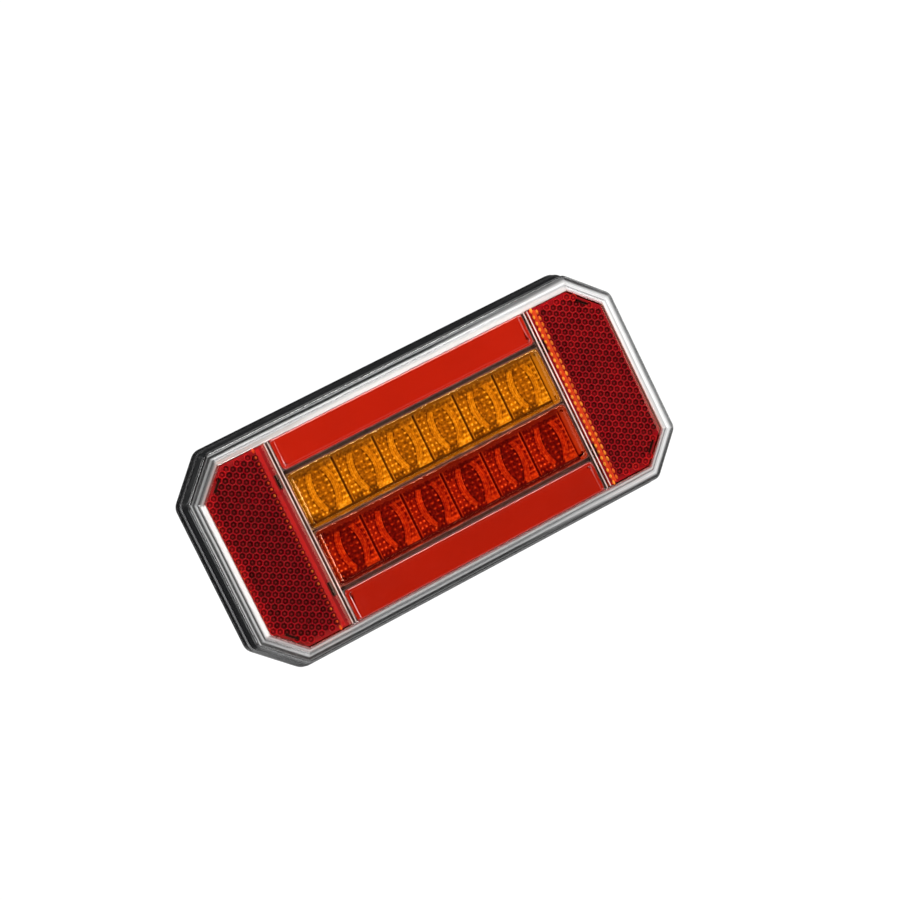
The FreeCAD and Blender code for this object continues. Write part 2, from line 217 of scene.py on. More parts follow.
def moulded(name, colour, roughness, grain, depth, metallic=0.0, ior=1.46, patch=18.0, spread=0.2):
    """Opaque plastic, rubber or metal: mottled colour, uneven gloss and a fine grain in relief. The
    size of the grain, its depth and the size of the mottle's patches are in millimetres."""
    nodes = Nodes(name)
    shader = nodes.add("ShaderNodeBsdfPrincipled")
    mottle = [(0.3, shaded(colour, 1 - spread)), (0.7, shaded(colour, 1 + spread))]
    nodes.join(nodes.ramp(nodes.noise(patch, 3.0), mottle), shader.inputs["Base Color"])
    wear = [(0.3, roughness * 0.85), (0.7, min(1.0, roughness * 1.15))]
    nodes.join(nodes.ramp(nodes.noise(patch * 0.4, 4.0), wear), shader.inputs["Roughness"])
    nodes.join(nodes.bump(nodes.noise(grain, 3.0), depth), shader.inputs["Normal"])
    shader.inputs["Metallic"].default_value = metallic
    shader.inputs["IOR"].default_value = ior
    return nodes.finish(shader.outputs["BSDF"])


def clear_acrylic(name, tint):
    """Polished tinted acrylic that bends what is seen through it."""
    nodes = Nodes(name)
    glass, relief = nodes.glass(ACRYLIC_IOR, WINDOW_RIPPLE)
    tone = nodes.ramp(nodes.noise(14.0), [(0.3, shaded(tint, 0.97)), (0.7, tint)])
    nodes.join(tone, glass.inputs["Color"])
    return nodes.finish_see_through(glass.outputs["BSDF"], tone)


def lit_relief(name, stops, mottle=2.0, spread=0.1):
    """Optics seen through a tinted window: the mesh's glow value, painted light and shade, picks the
    colour.
    """
    nodes = Nodes(name)
    shader = nodes.add("ShaderNodeBsdfPrincipled")
    glow = nodes.add("ShaderNodeAttribute", attribute_name="glow")
    uneven = nodes.sum_of(nodes.noise(mottle, 3.0), -spread / 2, spread)
    total = nodes.sum_of(glow.outputs["Fac"], uneven)
    nodes.join(nodes.ramp(total, stops), shader.inputs["Base Color"])
    nodes.join(nodes.ramp(nodes.noise(3.0), [(0.3, 0.25), (0.7, 0.4)]), shader.inputs["Roughness"])
    nodes.join(nodes.bump(nodes.noise(0.6), 0.02), shader.inputs["Normal"])
    shader.inputs["Specular IOR Level"].default_value = 0.15
    return nodes.finish(shader.outputs["BSDF"])


def streaked_acrylic(name):
    """Clear border of the lens. Pale and dark lines that follow the octagon are painted highlights and
    painted shade of the steps moulded below its surface, so their strength depends on the distance
    outside the coloured area."""
    nodes = Nodes(name)
    place = nodes.place()
    mirrored = nodes.add("ShaderNodeVectorMath", operation="ABSOLUTE")
    nodes.join(place, mirrored.inputs[0])
    from_middle = nodes.parts_of(mirrored.outputs["Vector"])
    along_x = nodes.sum_of(from_middle["X"], -FACE_HALF_X)
    along_z = nodes.sum_of(from_middle["Z"], -FACE_HALF_Z)
    chamfer_line = (FACE_HALF_X + FACE_HALF_Z - FACE_CUT) / math.sqrt(2)
    slanted = nodes.sum_of(from_middle["X"], from_middle["Z"])
    slanted = nodes.sum_of(slanted, -chamfer_line, 1 / math.sqrt(2))
    straight = nodes.larger(along_x, along_z)
    wavering = nodes.sum_of(nodes.noise(20.0), nodes.larger(straight, slanted), BORDER_WAVER)
    share = nodes.sum_of(wavering, -BORDER_WAVER / 2 / BORDER_WIDTH, 1 / BORDER_WIDTH)

    # Painted highlights and shade of the steps, for the left-hand and the right-hand side.
    tones = [nodes.ramp(share, [(distance / BORDER_WIDTH, tone) for distance, tone in stops])
             for stops in (BORDER_PAINTED_LIGHT_LEFT, BORDER_PAINTED_LIGHT_RIGHT)]
    signed = nodes.parts_of(place)
    rightwards = nodes.sum_of(signed["X"], RIGHT_SHARE_AT_MIDDLE, RIGHT_SHARE_PER_MM)
    tone = nodes.mix(rightwards, *tones)
    on_chamfer = nodes.sum_of(straight, slanted, -1.0)
    below = nodes.sum_of(signed["Z"], -SHADE_START, -1.0)
    in_shade = nodes.ramp(nodes.larger(on_chamfer, below), [(0.0, 0.0), (0.5, 1.0)])
    # Painted shade on the chamfers and the bottom, with a painted red reflection at the inner edge.
    tone = nodes.mix(in_shade, tone, nodes.ramp(share, BORDER_SHADE), "MULTIPLY")

    glass, relief = nodes.glass(BORDER_IOR, BORDER_RIPPLE)
    glass.inputs["Color"].default_value = BORDER_TINT
    # This shader paints the highlights and shade of the steps; the glass shows between them.
    steps = nodes.add("ShaderNodeBsdfPrincipled")
    nodes.join(tone, steps.inputs["Base Color"])
    steps.inputs["Roughness"].default_value = 0.12
    steps.inputs["IOR"].default_value = BORDER_IOR
    nodes.join(relief, steps.inputs["Normal"])
    body = nodes.add("ShaderNodeMixShader")
    nodes.join(nodes.ramp(share, BORDER_BODY), body.inputs["Fac"])
    nodes.join(glass.outputs["BSDF"], body.inputs[1])
    nodes.join(steps.outputs["BSDF"], body.inputs[2])
    return nodes.finish_see_through(body.outputs["Shader"])


def shield_plastic(name, front_colour, painted_lit_wall_colour):
    """Light shield: dark on the faces towards the lens, with painted light on the walls of its chambers.
    """
    nodes = Nodes(name)
    shader = nodes.add("ShaderNodeBsdfPrincipled")
    surface = nodes.add("ShaderNodeNewGeometry")
    facing = nodes.add("ShaderNodeMath", operation="ABSOLUTE")
    nodes.join(nodes.parts_of(surface.outputs["True Normal"])["Y"], facing.inputs[0])
    tone = nodes.ramp(facing.outputs["Value"], [(0.4, painted_lit_wall_colour), (0.7, front_colour)])
    mottle = nodes.ramp(nodes.noise(12.0, 3.0), [(0.3, 0.8), (0.7, 1.0)])
    nodes.join(nodes.mix(1.0, tone, mottle, "MULTIPLY"), shader.inputs["Base Color"])
    nodes.join(nodes.ramp(nodes.noise(5.0), [(0.3, 0.45), (0.7, 0.55)]), shader.inputs["Roughness"])
    nodes.join(nodes.bump(nodes.noise(0.4, 3.0), 0.01), shader.inputs["Normal"])
    shader.inputs["Specular IOR Level"].default_value = 0.1
    return nodes.finish(shader.outputs["BSDF"])


def red_strip_plastic(name, strength):
    """Deep red translucent plastic over a white diffuser, polished."""
    nodes = Nodes(name)
    shader = nodes.add("ShaderNodeBsdfPrincipled")
    red = shaded(STRIP_RED, strength)
    tone = nodes.ramp(nodes.noise(30.0, 1.0), [(0.3, shaded(red, 0.96)), (0.7, shaded(red, 1.04))])
    nodes.join(tone, shader.inputs["Base Color"])
    nodes.join(nodes.ramp(nodes.noise(6.0, 4.0), [(0.3, 0.06), (0.7, 0.1)]), shader.inputs["Roughness"])
    nodes.join(nodes.bump(nodes.noise(12.0), 0.004), shader.inputs["Normal"])
    shader.inputs["IOR"].default_value = ACRYLIC_IOR
    return nodes.finish(shader.outputs["BSDF"])


housing_black = moulded("housing_black", (0.009, 0.009, 0.0095), 0.2, 0.35, 0.006)
gasket_foam = moulded("gasket_foam", (0.02, 0.02, 0.02), 0.9, 0.8, 0.12)
grommet_rubber = moulded("grommet_rubber", (0.014, 0.014, 0.014), 0.55, 0.5, 0.02)
seal_silicone = moulded("seal_silicone", (0.25, 0.25, 0.24), 0.5, 0.6, 0.01)
stud_steel = moulded("stud_steel", (0.6, 0.6, 0.57), 0.3, 0.4, 0.006,
                     metallic=1.0, patch=6.0, spread=0.12)
screw_steel = moulded("screw_steel", (0.6, 0.6, 0.6), 0.3, 0.4, 0.006, metallic=1.0, patch=3.0)
# The second colour is painted light on the walls of the shield's chambers.
shield_grey = shield_plastic("shield_grey", (0.04, 0.014, 0.009), (0.35, 0.26, 0.2))
backing_grey = moulded("backing_grey", (0.35, 0.35, 0.35), 0.5, 0.5, 0.01)
diffuser_white = moulded("diffuser_white", (0.8, 0.8, 0.78), 0.5, 0.5, 0.01, spread=0.04)
board_green = moulded("board_green", (0.02, 0.13, 0.05), 0.3, 0.6, 0.01, patch=4.0)
chip_black = moulded("chip_black", (0.02, 0.02, 0.02), 0.45, 0.2, 0.01)
capacitor_tan = moulded("capacitor_tan", (0.42, 0.28, 0.16), 0.5, 0.2, 0.01)
terminal_tin = moulded("terminal_tin", (0.75, 0.74, 0.7), 0.3, 0.3, 0.01, metallic=1.0)
led_package = moulded("led_package", (0.8, 0.72, 0.45), 0.2, 0.3, 0.005)
clear_lens = streaked_acrylic("clear_lens")
red_window = clear_acrylic("red_window", (0.96, 0.495, 0.33))
amber_window = clear_acrylic("amber_window", (0.974, 0.805, 0.376))
red_reflector = clear_acrylic("red_reflector", (0.974, 0.63, 0.5))
red_panel_upper = red_strip_plastic("red_panel_upper", 1.0)
red_panel_lower = red_strip_plastic("red_panel_lower", 0.82)
# Glow ramps of the optics and the reflector cells: from painted shade to painted highlights.
amber_optic = lit_relief("amber_optic", [(0.0, (0.02, 0.01, 0.005)), (0.25, (0.1, 0.045, 0.01)),
                                         (0.5, (0.26, 0.13, 0.03)), (0.7, (0.44, 0.26, 0.06)),
                                         (1.0, (0.8, 0.7, 0.4))])
stop_optic = lit_relief("stop_optic", [(0.0, (0.015, 0.003, 0.01)), (0.25, (0.08, 0.012, 0.03)),
                                       (0.5, (0.22, 0.08, 0.04)), (0.7, (0.4, 0.26, 0.08)),
                                       (1.0, (0.7, 0.7, 0.4))])
prism_red = lit_relief("prism_red", [(0.0, (0.005, 0.0, 0.0)), (0.25, (0.035, 0.0, 0.004)),
                                     (0.5, (0.22, 0.003, 0.02)), (0.65, (0.4, 0.01, 0.02)),
                                     (0.8, (0.5, 0.12, 0.03)), (1.0, (0.8, 0.7, 0.1))],
                       mottle=6.0, spread=0.08)
# The pale ridge plastic is a painted highlight along the bars.
ridge_painted_highlight = moulded("ridge_painted_highlight", (0.7, 0.5, 0.46), 0.2, 0.8, 0.01, patch=7.0, spread=0.3)
ridge_dim = moulded("ridge_dim", (0.13, 0.035, 0.022), 0.3, 0.8, 0.01,
                    ior=1.25, patch=7.0, spread=0.5)


# ---- meshes ----
class Solids:
    """Gathers solids, given in millimetres, for one mesh in metres."""

    def __init__(self):
        self.verts = []
        self.faces = []
        self.glow = []

    def take(self, verts, faces, glow=()):
        base = len(self.verts)
        self.verts.extend([tuple(c * MM for c in vert) for vert in verts])
        self.faces.extend([[base + i for i in face] for face in faces])
        self.glow.extend(glow)


def new_piece(name, verts, faces, material, stands_for, glow=None, smooth=True):
    mesh = bpy.data.meshes.new(name)
    mesh.from_pydata(verts, [], faces)
    if glow is not None:
        attribute = mesh.attributes.new("glow", "FLOAT", "POINT")
        attribute.data.foreach_set("value", np.asarray(glow, np.float32))
    if smooth:
        mesh.shade_smooth()
    else:
        mesh.shade_flat()
    mesh.validate()
    piece = bpy.data.objects.new(name, mesh)
    bpy.context.scene.collection.objects.link(piece)
    mesh.materials.append(material)
    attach(piece, ROOT)
    if stands_for:
        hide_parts(stands_for)
    return piece


def loft(rings, closed=False):
    """Solid through outlines with equally many points, from its back or its tip to its front. A
    closed one joins the last outline to the first."""
    width = len(rings[0])
    verts = [point for points in rings for point in points]
    faces = []
    steps = len(rings) if closed else len(rings) - 1
    for i in range(steps):
        j = (i + 1) % len(rings)
        for k in range(width):
            m = (k + 1) % width
            faces.append([i * width + m, j * width + m, j * width + k, i * width + k])
    if not closed:
        last = (len(rings) - 1) * width
        faces.append(list(reversed(range(width))))
        faces.append(list(range(last, last + width)))
    return verts, faces


def ring(x, z, level, radii):
    """Points around (x, z), at a level along Y, one for each of the radii."""
    points = []
    for step, radius in enumerate(radii):
        turn = 2 * math.pi * step / len(radii)
        points.append((x + radius * math.cos(turn), level, z + radius * math.sin(turn)))
    return points


# Row of optic cells behind a signal window. Places and sizes are in millimetres from the middle of a
# cell, and glows, which are painted light and shade, run from 0, dark, to 1, bright. Each stripe is a
# middle, a half width and a softness.
CELLS = 6
CELL_PITCH = 21.4
CELL_HALF_HEIGHT = 11.4
OPTIC_FRONT = -19.0              # level along Y of the ground of the cells
OPTIC_DEPTH = 1.6                # from there to the flat back
GRID = 0.2                       # size of the squares of the mesh
EDGE_SOFT = 0.3

ARC_MIDDLE = 1.15                # the arcs stand a little to the right of the cell's middle
ARC_LEVEL = 0.8                  # and are farthest apart a little above it
ARC_INSIDE = 4.2                 # from ARC_MIDDLE to an arc's inner edge
ARC_WIDTH = 2.9
ARC_RADIUS = 19.0
ARC_RISE = 0.7
ARC_SPAN = (0.2, 9.6, 0.5)
ARC_END_SLANT = 0.3
ARC_BLEND = 0.4
ARC_BODY = (ARC_WIDTH / 2, ARC_WIDTH / 2, EDGE_SOFT)
STREAK_PITCH = 0.97              # grooves along the arcs
STREAK_RISE = 0.08
STREAK_GLOW = 0.16
# CREST and HEEL are painted highlights, and TROUGHS painted shade.
CREST = (ARC_WIDTH - 0.3, 0.22, EDGE_SOFT)  # bright line on the upper part of an inner edge
CREST_SPAN = (2.5, 4.5, 3.0)
HEEL = (0.25, 0.2, EDGE_SOFT)    # and on the lower part of an outer edge
HEEL_SPAN = (-5.5, 3.5, 3.0)
CREST_GLOW = 0.76
TROUGHS = ((-0.35, 0.28, 0.4), (ARC_WIDTH + 0.35, 0.28, 0.4))  # shade along both edges
TROUGH_SHADE = 0.2

PILLOW_ACROSS = 3.1
PILLOW_UP = 2.72
PILLOW_SHIFT = 0.6
PILLOW_HALF_X = 0.75
PILLOW_HALF_Z = 0.48
PILLOW_RISE = 0.4
PILLOW_GLOW = 0.4
NEAR_RIGHT_GLOW = 0.25           # more glow on the pillows close to the right-hand arc
NEAR_RIGHT = 1.2
SIDE_CROWDING = 1.5              # left of the arcs the columns of pillows stand closer, and lean
SIDE_LEAN = 0.085
SIDE_GLOW = 0.6
BRICK_LENGTH = 2.3               # right of the arcs there are courses of bricks
BRICK_STAGGER = 0.9
BRICK_JOINT = 0.13
BRICK_JOINT_SHADE = 0.55
BRICK_BODY = (0.0, 0.2, EDGE_SOFT)
BRICK_RISE = 0.3
BRICK_GLOW = 0.36

# HIGH and LOW paint the cells darker above and brighter below; FOOT paints their foot.
HIGH = (6.0, 5.0)                # level and softness of the upper part, where all is darker
HIGH_SHADES = (0.15, 0.14, 0.1)  # on side pillows, their ground and bricks
LOW = (5.0, 6.0)                 # the same below the middle, where the side pillows are brighter
LOW_GLOW = 0.12
FOOT = (8.6, 1.2)                # the foot of a cell, dotted on the left and bright on the right
FOOT_LEFT_END = 2.5
FOOT_RIGHT_START = 3.2
FOOT_OPENING = (-3.0, 1.6, 0.6)
FOOT_GROUND = 0.2
FOOT_DOTS = 0.5
FOOT_LIFT = 0.29                 # the foot's right side over the tone above it
MOTTLE_SIZE = 0.7
MOTTLE_GLOW = 0.3
# Painted bright lines and glow at the sides, ends and rims of the cells:
RIGHT_LINE = (9.75, 0.28, 0.15)  # bright lines down both sides of a cell
RIGHT_LINE_GLOW = 0.72
LEFT_LINE = (-9.9, 0.28, 0.15)
LEFT_LINE_GLOW = 0.6
GAP = (CELL_PITCH / 2, 0.5, EDGE_SOFT)  # dark groove between cells
GAP_DEPTH = 1.2
GAP_GLOW = 0.12
RIM_GLOW = 0.45                  # above and below the cells
LOWER_LINE = (-CELL_HALF_HEIGHT - 0.4, 0.45, 0.2)
LOWER_LINE_GLOW = 0.1
END_GLOW = 0.62                  # beyond the last cell at each end


def soft_step(value, edge, width):
    return np.clip((value - edge) / width + 0.5, 0.0, 1.0)


def stripe(value, place):
    """1 in a stripe, 0 outside it; place is its middle, half width and softness."""
    middle, half_width, soft = place
    return 1 - soft_step(np.abs(value - middle), half_width, soft)


def blend(under, over, share):
    return under * (1 - share) + over * share


def pillow_row(z):
    """Number of the row of pillows at z, and the place in it from -0.5 to 0.5."""
    rows = (z - ARC_LEVEL) / PILLOW_UP + 0.5
    return np.floor(rows), rows % 1.0 - 0.5


def pillow_dots(x, z):
    """Rows of small bright lenses, 1 in the middle of each."""
    across = (x / PILLOW_ACROSS) % 1.0 - 0.5
    up = pillow_row(z)[1]
    return np.exp(-(across * PILLOW_ACROSS / PILLOW_HALF_X) ** 2 - (up * PILLOW_UP / PILLOW_HALF_Z) ** 2)


def brick_courses(x, z):
    """Staggered bricks level with the rows of pillows, 1 on each and less on their joints."""
    row, up = pillow_row(z)
    along = (x + BRICK_STAGGER * row) / BRICK_LENGTH % 1.0 - 0.5
    joint = np.exp(-(along / BRICK_JOINT) ** 2)
    return stripe(up, BRICK_BODY) * (1 - BRICK_JOINT_SHADE * joint)


def cell_ground(x, z, left, right, side_dots, tones):
    """Height and painted glow, light and shade, of the pillows and bricks of a cell; left and right are
    the distances in from the outer edges of the arcs."""
    left_tone, middle_tone, right_tone = tones
    beyond = 1 - soft_step(right, ARC_WIDTH / 2, ARC_BLEND)
    between = soft_step(left, ARC_WIDTH / 2, ARC_BLEND) * (1 - beyond)
    dots = pillow_dots(x + PILLOW_SHIFT, z)
    bricks = brick_courses(x, z)
    high = soft_step(z, *HIGH)
    dot_shade, ground_shade, brick_shade = HIGH_SHADES
    side_glow = SIDE_GLOW - dot_shade * high + LOW_GLOW * soft_step(-z, *LOW)
    near_right = np.exp(-((right - ARC_WIDTH - NEAR_RIGHT) / NEAR_RIGHT) ** 2)
    glow = left_tone + side_glow * side_dots - ground_shade * high
    glow = blend(glow, middle_tone + (PILLOW_GLOW + NEAR_RIGHT_GLOW * near_right) * dots, between)
    glow = blend(glow, right_tone + BRICK_GLOW * bricks - brick_shade * high, beyond)
    height = PILLOW_RISE * blend(side_dots, dots, between)
    return blend(height, BRICK_RISE * bricks, beyond), glow


def add_arc(height, glow, inward, z, tone):
    """Adds a grooved arc with painted bright edges and painted shade beside them; inward is the distance
    in from its outer edge.
    """
    span = stripe(z + ARC_END_SLANT * inward, ARC_SPAN)
    on_arc = stripe(inward, ARC_BODY) * span
    streaks = 0.5 + 0.5 * np.cos(2 * np.pi * inward / STREAK_PITCH)
    height = blend(height, ARC_RISE + STREAK_RISE * streaks, on_arc)
    glow = blend(glow, tone + STREAK_GLOW * streaks, on_arc)
    crest = stripe(inward, CREST) * stripe(z, CREST_SPAN)
    heel = stripe(inward, HEEL) * stripe(z, HEEL_SPAN)
    glow = np.maximum(glow, CREST_GLOW * np.maximum(crest, heel))
    trough = stripe(inward, TROUGHS[0]) + stripe(inward, TROUGHS[1])
    return height, glow - TROUGH_SHADE * trough * span


def optic_relief(x, z, mottle, tones):
    """Height in millimetres and painted glow, light and shade, of an optic cell. The tones are those of
    its left side, the middle between its arcs, its right side, its left-hand arc and its right-hand arc."""
    left_tone, middle_tone, right_tone, left_arc_tone, right_arc_tone = tones
    bend = (z - ARC_LEVEL) ** 2 / (2 * ARC_RADIUS)
    left = x - ARC_MIDDLE + ARC_INSIDE + ARC_WIDTH - bend
    right = ARC_MIDDLE + ARC_INSIDE + ARC_WIDTH - bend - x
    side_dots = pillow_dots(SIDE_CROWDING * (x - SIDE_LEAN * z + PILLOW_SHIFT), z)
    ground_tones = (left_tone, middle_tone, right_tone)
    height, glow = cell_ground(x, z, left, right, side_dots, ground_tones)
    height, glow = add_arc(height, glow, left, z, left_arc_tone)
    height, glow = add_arc(height, glow, right, z, right_arc_tone)
    foot = soft_step(-z, *FOOT)
    dotted = foot * (x < FOOT_LEFT_END) * (1 - stripe(x, FOOT_OPENING))
    glow = blend(glow, FOOT_GROUND + FOOT_DOTS * side_dots, dotted)
    glow = blend(glow, right_tone + FOOT_LIFT, foot * (x >= FOOT_RIGHT_START))
    glow = glow + (mottle - 0.5) * MOTTLE_GLOW
    glow = np.maximum(glow, RIGHT_LINE_GLOW * stripe(x, RIGHT_LINE))
    glow = np.maximum(glow, LEFT_LINE_GLOW * stripe(x, LEFT_LINE))
    gap = stripe(np.abs(x), GAP)
    height = blend(height, -GAP_DEPTH, gap)
    glow = blend(glow, GAP_GLOW, gap)
    outside = soft_step(np.abs(z), CELL_HALF_HEIGHT, EDGE_SOFT)
    glow = blend(glow, RIM_GLOW, outside)
    glow = blend(glow, LOWER_LINE_GLOW, stripe(z, LOWER_LINE))
    return height * (1 - outside), glow


def value_noise(x, z, size, seed):
    """Smooth random field with features about size millimetres across."""
    random = np.random.default_rng(seed)
    table = random.random((256, 256))
    u = x / size + 128.0
    v = z / size + 128.0
    i = np.floor(u).astype(int)
    j = np.floor(v).astype(int)
    s = u - i
    t = v - j
    s = s * s * (3 - 2 * s)
    t = t * t * (3 - 2 * t)
    low = blend(table[i % 256, j % 256], table[(i + 1) % 256, j % 256], s)
    high = blend(table[i % 256, (j + 1) % 256], table[(i + 1) % 256, (j + 1) % 256], s)
    return blend(low, high, t)


def relief_slab(name, node, front, relief, material):
    """Closed slab filling a CAD node's box, its front face shaped by relief(x, z) in millimetres."""
    low, high = (Vector(corner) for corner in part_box(node))
    across = np.linspace(low.x, high.x, int((high.x - low.x) / (GRID * MM)) + 1)
    up = np.linspace(low.z, high.z, int((high.z - low.z) / (GRID * MM)) + 1)
    x, z = np.meshgrid(across, up, indexing="ij")
    height, glow = relief(x / MM, z / MM)
    y = (front - height) * MM
    verts = np.stack([x, y, z], -1).reshape(-1, 3)
    back = np.stack([x, np.full_like(x, (front + OPTIC_DEPTH) * MM), z], -1).reshape(-1, 3)
    columns, rows = x.shape
    index = np.arange(columns * rows).reshape(columns, rows)
    squares = [index[:-1, :-1], index[1:, :-1], index[1:, 1:], index[:-1, 1:]]
    faces = np.stack(squares, -1).reshape(-1, 4)
    rim = np.concatenate([index[:-1, 0], index[-1, :-1], index[:0:-1, -1], index[0, :0:-1]])
    rim_back = np.arange(len(rim)) + len(verts)
    verts = np.concatenate([verts, back[rim]])
    following = np.roll(np.arange(len(rim)), -1)
    sides = np.stack([rim, rim_back, rim_back[following], rim[following]], -1)
    all_faces = faces.tolist() + sides.tolist() + [rim_back[::-1].tolist()]
    all_glow = np.concatenate([glow.ravel(), np.zeros(len(rim))])
    return new_piece(name, verts.tolist(), all_faces, material, node, all_glow)


def signal_optic(node, material, middle, tones, seed):
    """Row of cells around the level middle, in place of a CAD optic."""
    def relief(x, z):
        local = (x + CELL_PITCH * CELLS) % CELL_PITCH - CELL_PITCH / 2
        mottle = value_noise(x, z, MOTTLE_SIZE, seed)
        height, glow = optic_relief(local, z - middle, mottle, tones)
        outer = soft_step(np.abs(x), CELL_PITCH * CELLS / 2, EDGE_SOFT)
        return height * (1 - outer), blend(glow, END_GLOW, outer)

    return relief_slab(node + "_cells", node, OPTIC_FRONT, relief, material)


# The tones, painted glow levels, go into optic_relief, and the last number is the seed of the mottle.
signal_optic("indicator_optic", amber_optic, 14.3, (0.47, 0.37, 0.49, 0.55, 0.51), 5)
signal_optic("stop_optic", stop_optic, -15.1, (0.39, 0.21, 0.38, 0.49, 0.45), 6)


# Reflector: hexagonal prism cells on a plate, behind a clear red skin. Sizes and places are in
# millimetres, x outwards from the middle of the lamp and depths back from the front of the cells. Their
# glows are painted highlights and shade.
BED_FRONT = -24.2                # level along Y
HEX_SIDES = 6
HEX_FLATS = 3.18
HEX_FIT = 0.99                   # cells are a little smaller than their pitch
HEX_COLUMNS = 12
HEX_ROWS = 16                    # above and below the middle
HEX_MARGIN = -1.4                # cells stand at least this far inside the octagon
# EDGE_SHINE is a painted highlight on the cells beyond EDGE_MARGIN.
EDGE_MARGIN = -2.9               # cells beyond this catch more light
EDGE_SHINE = 0.12
SHINE_SPREAD = 0.025
BED_SEED = 7

# Outlines of a cell from its back to the bottom of its cup: share of its size, depth and painted glow.
HEX_RINGS = ((1.0, 1.3, 0.3), (1.0, 0.0, 0.48), (0.86, 0.05, 0.49), (0.74, 0.3, 0.22),
             (0.42, 0.8, 0.16), (0.2, 0.85, 0.42))

# Left (-1) and right (1) ends: first column of cells, their extra painted shine, and the painted glow of
# the bar.
FIRST_COLUMN = {-1: 75.5, 1: 77.2}
EXTRA_SHINE = {-1: 0.0, 1: 0.056}
BAR_GLOW = {-1: 0.59, 1: 0.75}

# Columns of beads beside the cells, with painted glints: place, shift up as a share of the pitch, and
# glow.
BEAD_COLUMNS = {-1: ((74.7, 0.0, 0.72), (103.7, 0.5, 0.7)), 1: ((72.3, 0.0, 0.94), (74.7, 0.5, 0.82))}
BEAD_ROWS = 14
BEAD_MARGIN = -1.2
BEAD_DEPTH = 0.15
BEAD_RISE = 0.7
BEAD_HALF_X = 0.75
BEAD_HALF_Z = 1.35
BEAD_TIP_GLOW = 0.1
BEAD_SPREAD = 0.05

# Flat parts of the bed: from x to x, or a half height, then depths of front and back, and painted glow.
PLATE_START = 69.4
PLATE_MARGIN = -0.4
PLATE_DEPTHS = (0.9, 1.8)
PLATE_GLOW = 0.46
BAR_SPAN = (72.0, 73.9)
BAR_HALF_HEIGHT = 44.5
BAR_DEPTHS = (0.6, 1.0)
CLIP_SPAN = (69.7, 71.4)
CLIP_FEET = (23.7, -30.4)
CLIP_HEIGHT = 6.7
CLIP_DEPTHS = (0.3, 1.0)
SLOT_PLACE = (96.5, 37.8)
SLOT_HALF_LENGTH = 3.2
SLOT_HALF_WIDTH = 0.55
SLOT_DEPTHS = (-0.2, 0.9)


def octagon(offset):
    """Half width, half height and corner cut of the coloured area's octagon, moved out by offset."""
    return FACE_HALF_X + offset, FACE_HALF_Z + offset, FACE_CUT + offset * (2 - math.sqrt(2))


def inside_octagon(x, z, offset):
    half_x, half_z, cut = octagon(offset)
    return abs(x) < half_x and abs(z) < half_z and abs(x) + abs(z) < half_x + half_z - cut


def half_octagon(start, offset):
    """Corners of the right-hand end of the octagon, from x = start outwards, anticlockwise."""
    half_x, half_z, cut = octagon(offset)
    return [(start, half_z), (start, -half_z), (half_x - cut, -half_z), (half_x, -half_z + cut),
            (half_x, half_z - cut), (half_x - cut, half_z)]


def rectangle(span, low, high):
    start, end = span
    return [(start, low), (end, low), (end, high), (start, high)]


def slanted_slot():
    """Corners of a slot that runs outwards and down, in the upper corner of the right-hand end."""
    x, z = SLOT_PLACE
    half_long = SLOT_HALF_LENGTH / math.sqrt(2)
    half_wide = SLOT_HALF_WIDTH / math.sqrt(2)
    return [(x + along * half_long + over * half_wide, z - along * half_long + over * half_wide)
            for along, over in ((-1, -1), (1, -1), (1, 1), (-1, 1))]


def hex_cell(x, z, shine):
    """Six-sided cell with a cup in its front."""
    rings = []
    glow = []
    for share, depth, light in HEX_RINGS:
        radius = HEX_FLATS / math.sqrt(3) * share * HEX_FIT
        rings.append(ring(x, z, BED_FRONT + depth, [radius] * HEX_SIDES))
        glow.extend([light + shine] * HEX_SIDES)
    verts, faces = loft(rings)
    return verts, faces, glow


def bead(x, z, light):
    """Small six-sided pyramid with a painted glint, brightest at its tip."""
    front = BED_FRONT + BEAD_DEPTH
    verts = [(x, front, z)]
    for i in range(HEX_SIDES):
        turn = 2 * math.pi * i / HEX_SIDES
        foot_x = x + BEAD_HALF_X * math.cos(turn)
        foot_z = z + BEAD_HALF_Z * math.sin(turn)
        verts.append((foot_x, front + BEAD_RISE, foot_z))
    faces = [[0, 1 + (i + 1) % HEX_SIDES, 1 + i] for i in range(HEX_SIDES)]
    faces.append(list(range(1, HEX_SIDES + 1)))
    return verts, faces, [light + BEAD_TIP_GLOW] + [light] * HEX_SIDES


def slab(outline, mirrored_x, mirrored_z, depths, light):
    """Flat plate over an outline that runs anticlockwise before it is mirrored."""
    points = [(mirrored_x * x, mirrored_z * z) for x, z in outline]
    if mirrored_x * mirrored_z < 0:
        points.reverse()
    front, back = depths
    verts, faces = loft([[(x, BED_FRONT + depth, z) for x, z in points] for depth in (back, front)])
    return verts, faces, [light] * len(verts)


